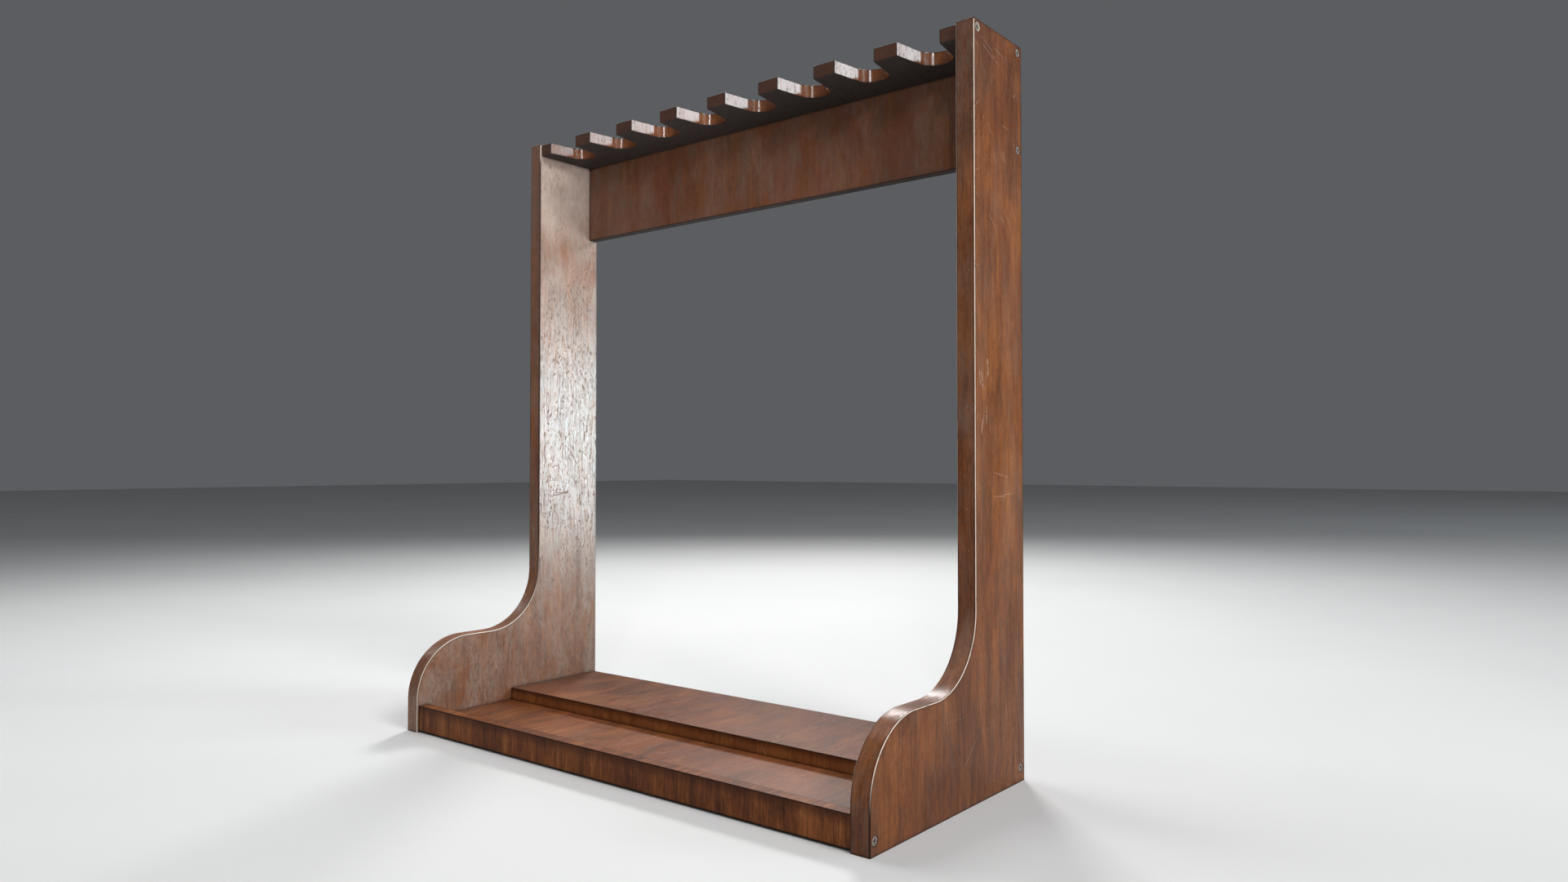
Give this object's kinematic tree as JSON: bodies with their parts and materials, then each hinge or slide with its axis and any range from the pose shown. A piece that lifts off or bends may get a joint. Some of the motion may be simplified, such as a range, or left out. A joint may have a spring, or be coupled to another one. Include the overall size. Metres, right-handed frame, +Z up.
{
  "type": "wall cue rack",
  "caption": "Wooden wall rack for billiard cues: notched shelf and back rail between swept side panels, on a stepped base with a front lip.",
  "frame": {"origin": "under the middle of the rack, on the plane of the side panels' feet", "axes": "+X to the rack's right as seen from its front, +Y towards the wall it hangs on, +Z up"},
  "size_m": [0.659, 0.2734, 0.736],
  "materials": {
    "panel_wood": "reddish-brown stained hardwood, worn semi-gloss lacquer, grain upright",
    "shelf_wood": "dark reddish-brown stained hardwood, semi-gloss lacquer",
    "rail_wood": "dark reddish-brown stained hardwood, satin lacquer, grain upright",
    "base_wood": "reddish-brown stained hardwood, worn semi-gloss lacquer",
    "dowel_wood": "plain beech",
    "screw_steel": "dull zinc plate",
    "plate_steel": "zinc-plated sheet"
  },
  "bodies": {
    "root": {"back_rail": "rail_wood", "cue_notch_shelf": "shelf_wood", "front_lip": "base_wood", "left_keyhole_plate": "plate_steel", "left_keyhole_plate_lower_screw": "screw_steel", "left_keyhole_plate_upper_screw": "screw_steel", "left_lip_screw": "screw_steel", "left_rail_end_dowel": "dowel_wood", "left_rail_screw": "screw_steel", "left_shelf_back_screw": "screw_steel", "left_shelf_front_screw": "screw_steel", "left_side_panel": "panel_wood", "left_step_end_dowel": "dowel_wood", "left_step_screw": "screw_steel", "left_tread_end_dowel": "dowel_wood", "lip_dowel_1": "dowel_wood", "lip_dowel_2": "dowel_wood", "lip_dowel_3": "dowel_wood", "lip_dowel_4": "dowel_wood", "rear_step": "base_wood", "right_keyhole_plate": "plate_steel", "right_keyhole_plate_lower_screw": "screw_steel", "right_keyhole_plate_upper_screw": "screw_steel", "right_lip_screw": "screw_steel", "right_rail_end_dowel": "dowel_wood", "right_rail_screw": "screw_steel", "right_shelf_back_screw": "screw_steel", "right_shelf_front_screw": "screw_steel", "right_side_panel": "panel_wood", "right_step_end_dowel": "dowel_wood", "right_step_screw": "screw_steel", "right_tread_end_dowel": "dowel_wood", "shelf_dowel_1": "dowel_wood", "shelf_dowel_2": "dowel_wood", "shelf_dowel_3": "dowel_wood", "shelf_dowel_4": "dowel_wood", "step_dowel_1": "dowel_wood", "step_dowel_2": "dowel_wood", "step_dowel_3": "dowel_wood", "step_dowel_4": "dowel_wood", "tread_board": "base_wood"}
  },
  "joints": []
}
